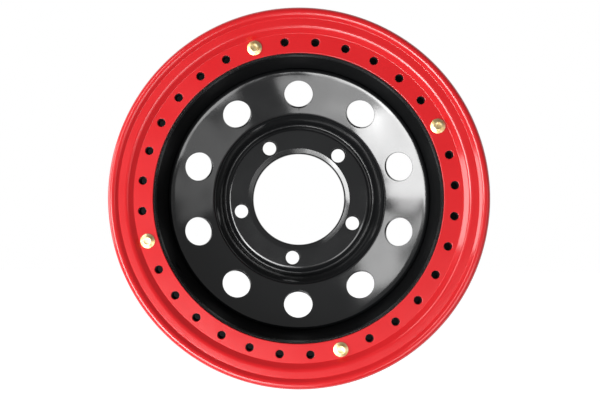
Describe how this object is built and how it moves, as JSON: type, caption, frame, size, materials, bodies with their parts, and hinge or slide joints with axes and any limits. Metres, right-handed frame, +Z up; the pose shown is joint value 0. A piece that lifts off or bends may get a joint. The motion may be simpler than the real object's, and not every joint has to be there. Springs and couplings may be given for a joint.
{
  "type": "beadlock wheel",
  "caption": "Steel off-road wheel with a deeply set vented disc in a drop-centre barrel, and a bolted clamp ring that grips the tyre's outer bead.",
  "frame": {"origin": "centre of the hub bore in the hub mounting plane", "axes": "Y along the wheel's axle, with the outer face towards -Y and the hub towards +Y; Z up, X to the right seen from the outer face"},
  "size_m": [0.4147, 0.2233, 0.4148],
  "materials": {
    "black_paint": "satin gloss black paint",
    "red_paint": "gloss red paint",
    "yellow_zinc": "yellow zinc plating"
  },
  "bodies": {
    "root": {"rim_barrel": "black_paint", "wheel_disc": "black_paint", "disc_welds": "black_paint", "beadlock_inner_ring": "black_paint", "inner_ring_weld": "black_paint", "clamp_ring": "red_paint", "clamp_bolts": "yellow_zinc"}
  },
  "joints": []
}
